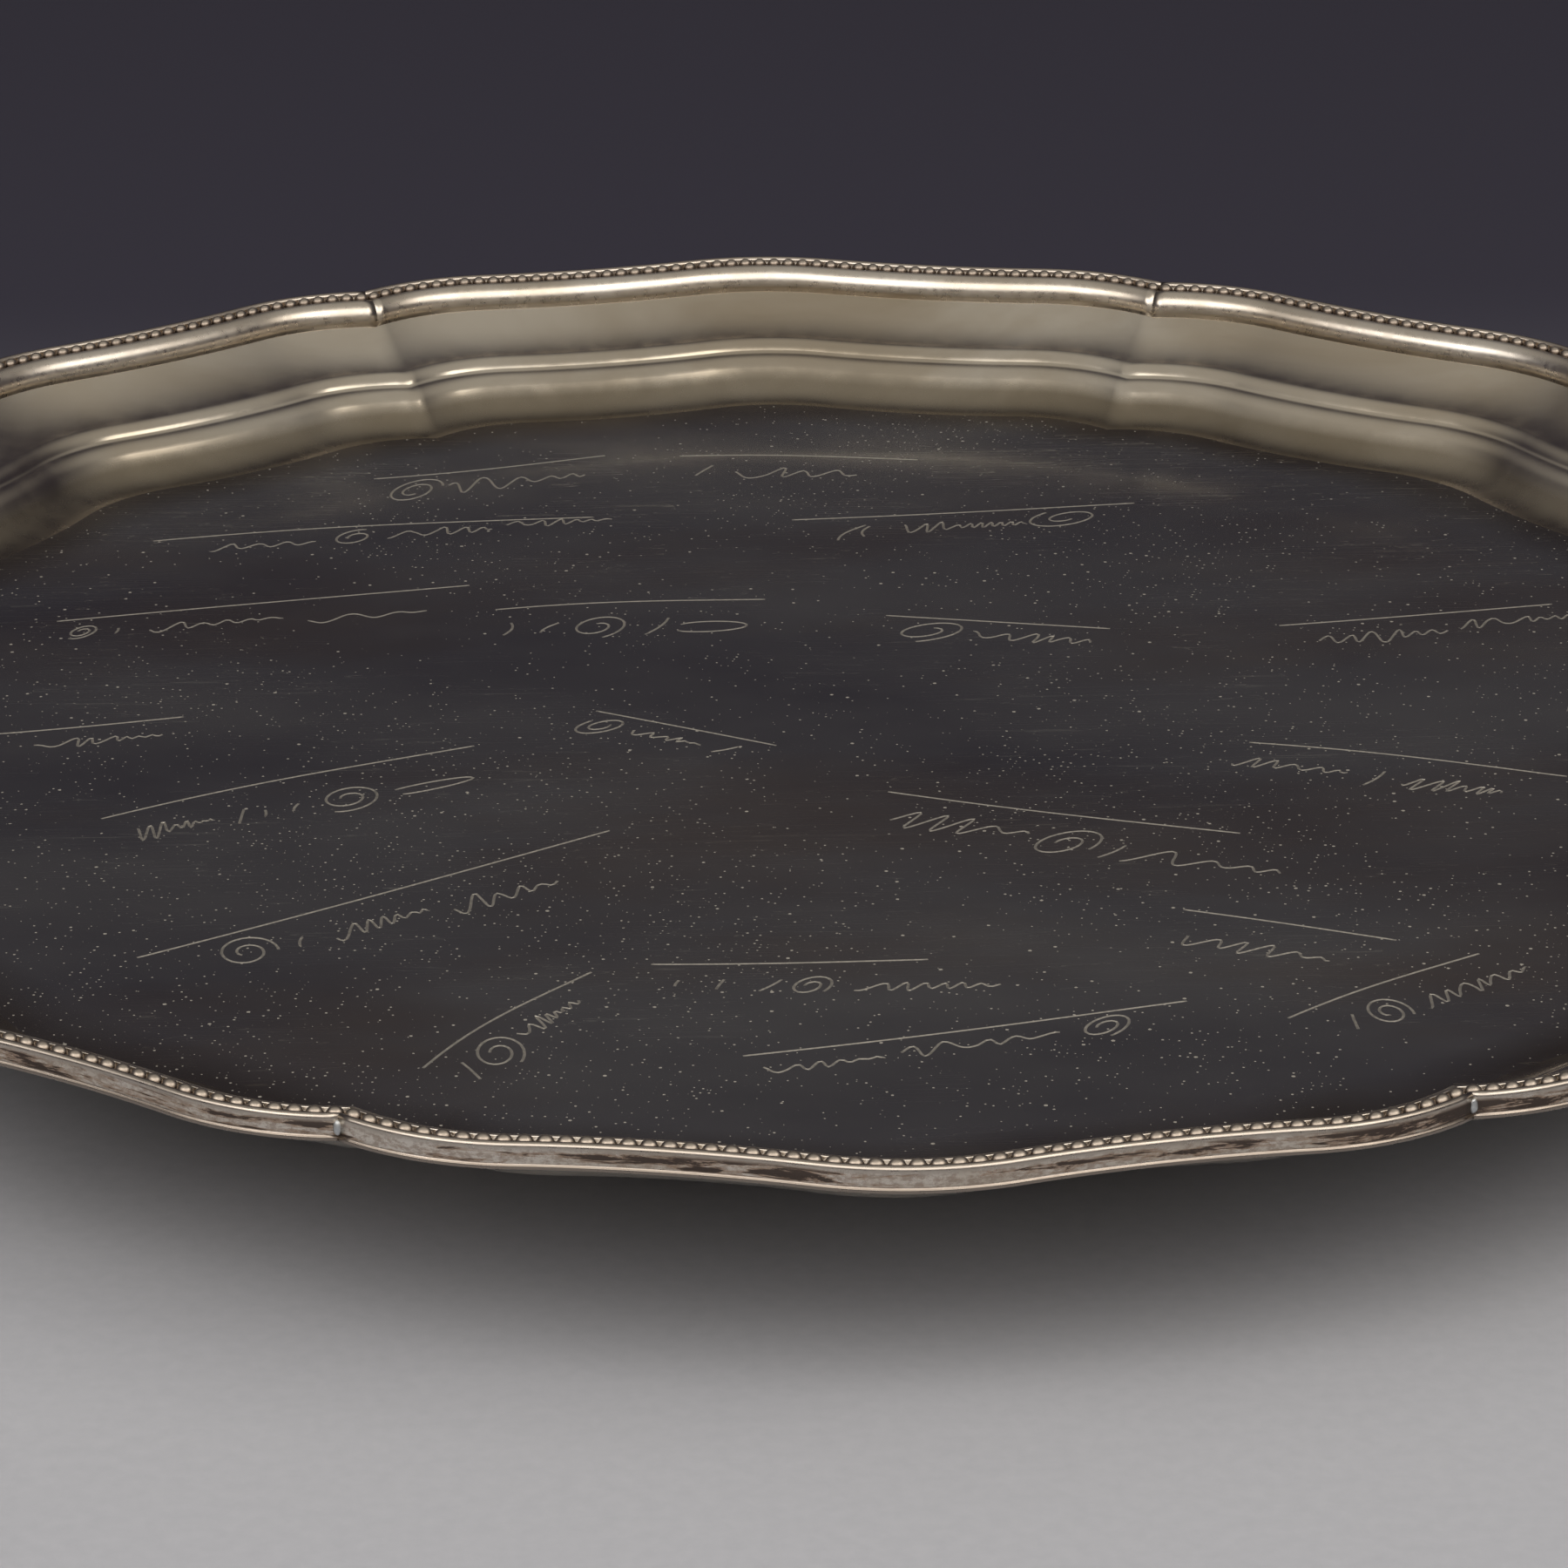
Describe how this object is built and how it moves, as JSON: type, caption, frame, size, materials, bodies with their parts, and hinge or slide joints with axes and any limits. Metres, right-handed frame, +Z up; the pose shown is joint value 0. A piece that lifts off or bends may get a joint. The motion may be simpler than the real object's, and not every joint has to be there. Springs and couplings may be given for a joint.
{
  "type": "footed silver salver",
  "caption": "Round footed silver tray with a scalloped stepped rim, an applied beaded border, a polished field with engraved flourishes and small cast feet.",
  "frame": {"origin": "on the surface the feet rest on, below the centre of the tray", "axes": "+Z up, out of the tray's upper face and along its centre line; +X towards foot_1 and the crest of border_section_1"},
  "size_m": [0.305, 0.305, 0.0311],
  "materials": {
    "plate_silver": "polished",
    "border_silver": "polished",
    "foot_silver": "gloss"
  },
  "bodies": {
    "root": {"plate": "plate_silver", "border_section_1": "border_silver", "border_section_2": "border_silver", "border_section_3": "border_silver", "border_section_4": "border_silver", "border_section_5": "border_silver", "border_section_6": "border_silver", "border_section_7": "border_silver", "border_section_8": "border_silver", "foot_1": "foot_silver", "foot_2": "foot_silver", "foot_3": "foot_silver"}
  },
  "joints": []
}
